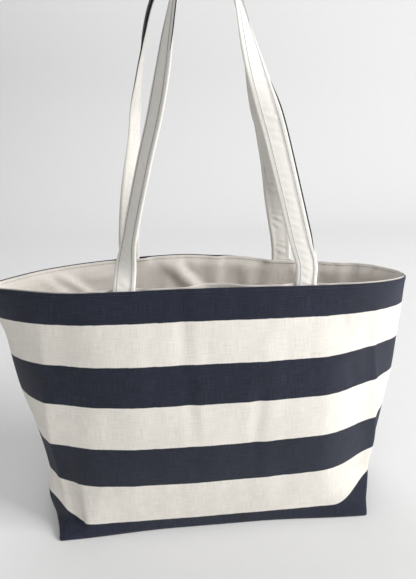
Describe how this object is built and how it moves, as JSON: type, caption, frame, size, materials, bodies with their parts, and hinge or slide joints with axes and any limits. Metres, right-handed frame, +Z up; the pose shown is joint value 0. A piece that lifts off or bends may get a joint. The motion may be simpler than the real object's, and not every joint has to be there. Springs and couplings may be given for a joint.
{
  "type": "canvas tote bag",
  "caption": "Open-topped canvas tote bag with a boxed base, bold horizontal stripes, a plain lining and tall fabric shoulder loops that flop over the rim.",
  "frame": {"origin": "centre of the base, on the surface the bag stands on", "axes": "+Z up, the front faces -Y, +X along the width from the left side seam to the right"},
  "size_m": [0.5166, 0.1602, 0.7023],
  "materials": {
    "striped_canvas": "matte plain-weave cotton canvas in navy and cream stripes",
    "interlining": "soft non-woven stiffening cloth",
    "lining_cotton": "matte plain cotton",
    "cream_webbing": "matte folded cotton cloth",
    "navy_webbing": "matte folded cotton cloth",
    "thread": "polyester sewing thread"
  },
  "bodies": {
    "bag": {"outer_front_panel": "striped_canvas", "outer_back_panel": "striped_canvas", "front_interlining": "interlining", "back_interlining": "interlining", "front_lining": "lining_cotton", "back_lining": "lining_cotton", "front_left_strap_end": "cream_webbing", "front_right_strap_end": "cream_webbing", "back_left_strap_end": "cream_webbing", "back_right_strap_end": "cream_webbing", "rim_topstitch": "thread"},
    "front_strap": {"front_strap_face": "cream_webbing", "front_strap_backing": "navy_webbing", "front_strap_topstitch": "thread"},
    "back_strap": {"back_strap_face": "cream_webbing", "back_strap_backing": "navy_webbing", "back_strap_topstitch": "thread"}
  },
  "joints": [
    {"name": "front_strap_fold", "type": "hinge", "parent": "bag", "child": "front_strap", "pos_m": [0, -0.0594, 0.3423], "axis": [1, 0, 0], "range_deg": [0, 170]},
    {"name": "back_strap_fold", "type": "hinge", "parent": "bag", "child": "back_strap", "pos_m": [0, 0.0594, 0.3423], "axis": [-1, 0, 0], "range_deg": [0, 170]}
  ]
}
